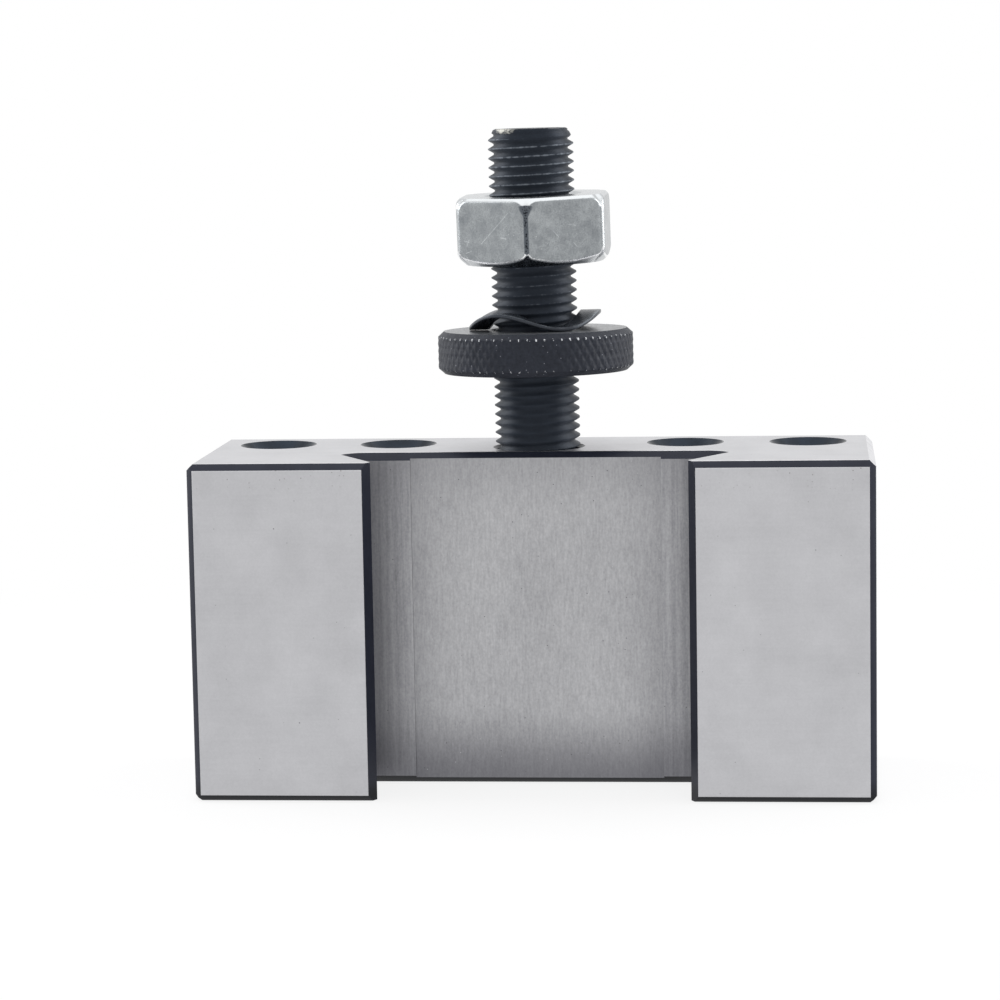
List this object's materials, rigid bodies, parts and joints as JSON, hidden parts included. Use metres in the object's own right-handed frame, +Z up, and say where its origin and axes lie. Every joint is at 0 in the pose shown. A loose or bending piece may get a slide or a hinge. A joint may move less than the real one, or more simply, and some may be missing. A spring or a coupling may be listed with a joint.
{
  "type": "turning tool holder",
  "caption": "Dovetail quick-change lathe tool holder: ground steel block with tool slot, clamp screws and a threaded stud with knurled height wheel, wave washer and lock nut.",
  "frame": {"origin": "middle of the block's bottom face", "axes": "+X along the tool slot, +Y from the dovetail pads to the tool slot, +Z up along the stud"},
  "size_m": [0.11, 0.0398, 0.1073],
  "materials": {
    "ground_steel": "surface ground, with black oxide left on the chamfers",
    "black_oxide_steel": "black oxide on turned steel",
    "spring_steel": "blued spring strip",
    "zinc_plated_steel": "dull zinc plate on cold-formed steel",
    "black_alloy_steel": "black oxide on alloy steel"
  },
  "bodies": {
    "holder": {"holder_body": "ground_steel", "height_stud": "black_oxide_steel"},
    "washer": {"spring_washer": "spring_steel"},
    "wheel": {"height_wheel": "black_oxide_steel"},
    "nut": {"lock_nut": "zinc_plated_steel"},
    "screw_1": {"clamp_screw_1": "black_alloy_steel"},
    "screw_2": {"clamp_screw_2": "black_alloy_steel"},
    "screw_3": {"clamp_screw_3": "black_alloy_steel"},
    "screw_4": {"clamp_screw_4": "black_alloy_steel"}
  },
  "joints": [
    {"name": "wheel_travel", "type": "slide", "parent": "holder", "child": "washer", "axis": [0, 0, 1], "range_m": [-0.012, 0.003]},
    {"name": "wheel_turn", "type": "hinge", "parent": "washer", "child": "wheel", "pos_m": [0, 0.0047, 0.0709], "axis": [0, 0, 1], "range_deg": [-2880, 720]},
    {"name": "nut_travel", "type": "slide", "parent": "holder", "child": "nut", "axis": [0, 0, 1], "range_m": [-0.0045, 0.0105]},
    {"name": "screw_1_travel", "type": "slide", "parent": "holder", "child": "screw_1", "axis": [0, 0, 1], "range_m": [-0.012, 0.0015]},
    {"name": "screw_2_travel", "type": "slide", "parent": "holder", "child": "screw_2", "axis": [0, 0, 1], "range_m": [-0.012, 0.0015]},
    {"name": "screw_3_travel", "type": "slide", "parent": "holder", "child": "screw_3", "axis": [0, 0, 1], "range_m": [-0.012, 0.0015]},
    {"name": "screw_4_travel", "type": "slide", "parent": "holder", "child": "screw_4", "axis": [0, 0, 1], "range_m": [-0.012, 0.0015]}
  ],
  "couplings": [
    {"joint": "wheel_travel", "follows": "wheel_turn", "m_per_rad": 0.00023873}
  ]
}
